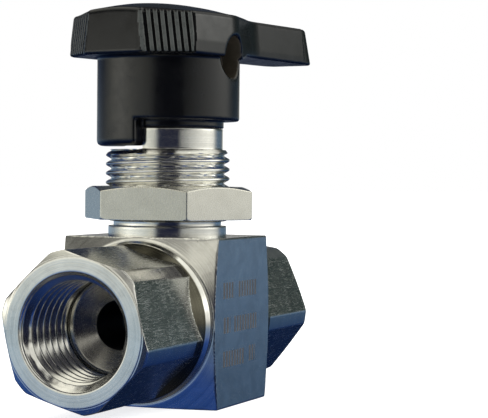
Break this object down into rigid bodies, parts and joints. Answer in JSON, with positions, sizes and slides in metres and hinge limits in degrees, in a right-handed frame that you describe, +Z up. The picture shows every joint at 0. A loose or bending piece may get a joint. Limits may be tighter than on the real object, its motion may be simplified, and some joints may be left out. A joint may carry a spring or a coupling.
{
  "type": "panel-mount ball valve",
  "caption": "Quarter-turn mini ball valve: square bar body with a threaded panel neck and nut, hexagon end connectors with tapped ports, and a moulded lever handle.",
  "frame": {"origin": "where the flow axis crosses the stem axis", "axes": "+Z up the stem towards the handle, +Y along the flow from the front port to the rear port, +X towards the plain side flat"},
  "size_m": [0.0218, 0.0545, 0.0494],
  "materials": {
    "stainless": "turned, lightly scratched bar stock",
    "stainless_internal": "fine machined",
    "spring_steel": "spring steel, fine ground",
    "nylon_black": "moulded nylon, semi-gloss",
    "ptfe_white": "machined fluoropolymer",
    "seal_rubber": "smooth moulded"
  },
  "bodies": {
    "valve_body": {"body": "stainless", "end_connector_front": "stainless", "end_connector_rear": "stainless", "connector_o_ring_front": "seal_rubber", "connector_o_ring_rear": "seal_rubber", "seat_front": "ptfe_white", "seat_rear": "ptfe_white", "thrust_washer": "ptfe_white", "packing_ring_lower": "ptfe_white", "packing_ring_upper": "ptfe_white", "gland_follower": "stainless_internal", "disc_springs": "spring_steel", "packing_nut": "stainless_internal"},
    "lever": {"handle": "nylon_black", "handle_insert": "stainless_internal", "set_screw": "stainless_internal", "stem": "stainless_internal", "stem_o_ring": "seal_rubber"},
    "ball": {"ball": "stainless_internal"},
    "panel_nut": {"panel_nut": "stainless"}
  },
  "joints": [
    {"name": "handle_turn", "type": "hinge", "parent": "valve_body", "child": "lever", "pos_m": [0, 0, 0.03], "axis": [0, 0, 1], "range_deg": [-90, 0]},
    {"name": "ball_turn", "type": "hinge", "parent": "valve_body", "child": "ball", "pos_m": [0, 0, 0], "axis": [0, 0, 1], "range_deg": [-90, 0]},
    {"name": "panel_nut_slide", "type": "slide", "parent": "valve_body", "child": "panel_nut", "axis": [0, 0, 1], "range_m": [-0.0007, 0.0048]}
  ],
  "couplings": [
    {"joint": "ball_turn", "follows": "handle_turn", "ratio": 1}
  ]
}
